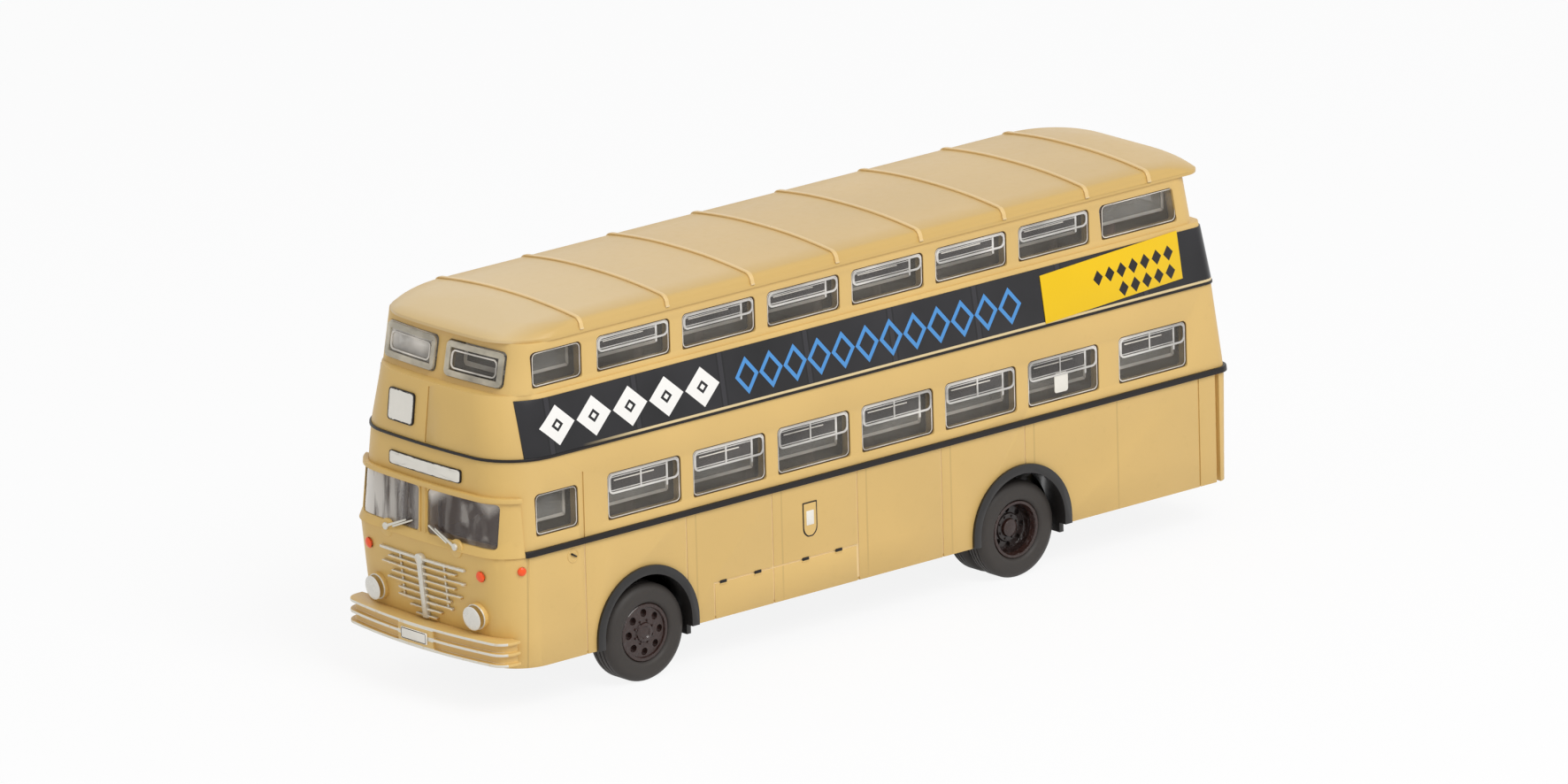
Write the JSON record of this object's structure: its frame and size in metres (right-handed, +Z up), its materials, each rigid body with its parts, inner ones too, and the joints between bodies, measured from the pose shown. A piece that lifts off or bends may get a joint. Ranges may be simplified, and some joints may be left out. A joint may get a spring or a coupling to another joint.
{
  "type": "scale model of a double decker bus",
  "caption": "Collector's scale model of a two-axle double decker city bus with glazed decks, closed folding doors and turning wheelsets.",
  "frame": {"origin": "on the ground under the middle of the overall length, on the centre plane", "axes": "+X towards the bus's front, +Y to its left side, +Z up"},
  "size_m": [0.0628, 0.016, 0.0251],
  "materials": {
    "body_paint": "ochre beige satin paint on moulded plastic",
    "roof_paint": "tan matt paint on moulded plastic",
    "clear_glazing": "clear moulded plastic",
    "dark_trim": "printed near-black",
    "band_paint": "printed blue-black",
    "yellow_paint": "printed yellow",
    "black_plastic": "moulded black",
    "tyre_rubber": "moulded dark grey",
    "hub_plastic": "moulded red-brown",
    "axle_steel": "bright turned",
    "interior_plastic": "moulded grey-brown",
    "seat_plastic": "moulded brown",
    "sign_white": "printed white, blank",
    "silver_paint": "silver paint",
    "lamp_lens": "pearl white paint",
    "orange_lens": "orange paint",
    "red_lens": "red paint"
  },
  "bodies": {
    "bus_body": {"lower_body": "body_paint", "upper_body": "body_paint", "roof": "roof_paint", "roof_ribs": "roof_paint", "windscreen": "clear_glazing", "glazing_lower_left": "clear_glazing", "glazing_lower_right": "clear_glazing", "glazing_upper_left": "clear_glazing", "glazing_upper_right": "clear_glazing", "glazing_upper_front": "clear_glazing", "glazing_rear": "clear_glazing", "door_glazing": "clear_glazing", "windscreen_surround": "body_paint", "belt_moulding": "dark_trim", "deck_line": "dark_trim", "side_band": "band_paint", "yellow_panels": "yellow_paint", "door_front": "body_paint", "door_rear": "body_paint", "wheel_guards": "black_plastic", "chassis": "black_plastic", "engine": "black_plastic", "fuel_tank": "black_plastic", "lower_floor": "interior_plastic", "upper_floor": "interior_plastic", "lower_seats": "seat_plastic", "upper_seats": "seat_plastic", "steering_wheel": "black_plastic", "front_bumper": "body_paint", "number_plate": "sign_white", "grille": "silver_paint", "headlamps": "lamp_lens", "flashers": "orange_lens", "tail_lamps": "red_lens", "rear_bumper": "body_paint", "destination_sign": "sign_white", "route_box": "sign_white", "wipers": "silver_paint"},
    "front_wheelset": {"front_tyres": "tyre_rubber", "front_hubs": "hub_plastic", "front_axle": "axle_steel"},
    "rear_wheelset": {"rear_tyres": "tyre_rubber", "rear_hubs": "hub_plastic", "rear_axle": "axle_steel"}
  },
  "joints": [
    {"name": "front_wheels_roll", "type": "hinge", "parent": "bus_body", "child": "front_wheelset", "pos_m": [0.0186, 0, 0.0032], "axis": [0, 1, 0], "continuous": true},
    {"name": "rear_wheels_roll", "type": "hinge", "parent": "bus_body", "child": "rear_wheelset", "pos_m": [-0.013, 0, 0.0032], "axis": [0, 1, 0], "continuous": true}
  ]
}
